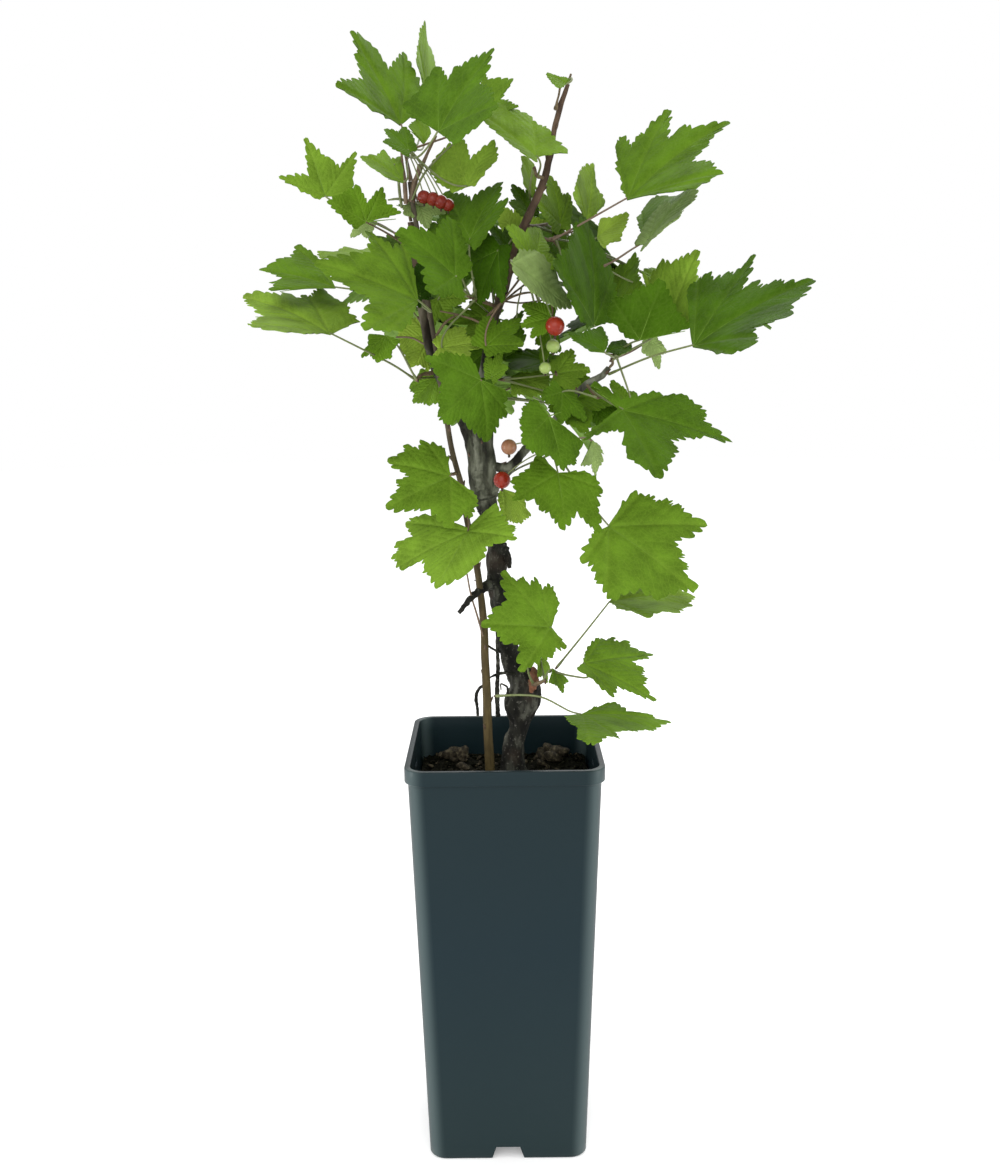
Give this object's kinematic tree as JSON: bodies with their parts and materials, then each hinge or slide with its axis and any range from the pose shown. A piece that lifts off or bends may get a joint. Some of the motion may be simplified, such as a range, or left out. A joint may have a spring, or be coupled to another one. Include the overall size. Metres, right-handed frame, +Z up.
{
  "type": "potted red currant bush",
  "caption": "Young red currant bush with lobed leaves and a few berries, in a tall square tapered plastic pot.",
  "frame": {"origin": "on the ground under the middle of the whole plant's box, at the level of the pot's underside", "axes": "+Z up, front towards -Y, +X to the right as seen from the front"},
  "size_m": [0.3202, 0.2734, 0.631],
  "materials": {
    "pot": "matt dark slate moulded plastic",
    "compost": "dark damp compost with coarse bark",
    "old_bark": "rough flaky grey-black bark",
    "shoot_bark": "smooth tan young bark",
    "leaf": "green lobed leaves with pale veins, and red and pale green berries"
  },
  "bodies": {
    "root": {"back_base": "leaf", "back_left": "leaf", "back_low": "leaf", "back_middle": "leaf", "back_right": "leaf", "back_top": "leaf", "base_right": "leaf", "centre_left": "leaf", "centre_low": "leaf", "centre_right": "leaf", "compost": "compost", "crown_top_left": "leaf", "leader_tip": "leaf", "left_bough": "old_bark", "left_low": "leaf", "left_middle": "leaf", "left_upper": "leaf", "pot": "pot", "right_bough": "old_bark", "right_low": "leaf", "right_middle": "leaf", "right_reach": "leaf", "right_upper": "leaf", "side_bough": "old_bark", "top_right": "leaf", "trunk": "old_bark", "trunk_left": "leaf", "young_shoot": "shoot_bark"}
  },
  "joints": []
}
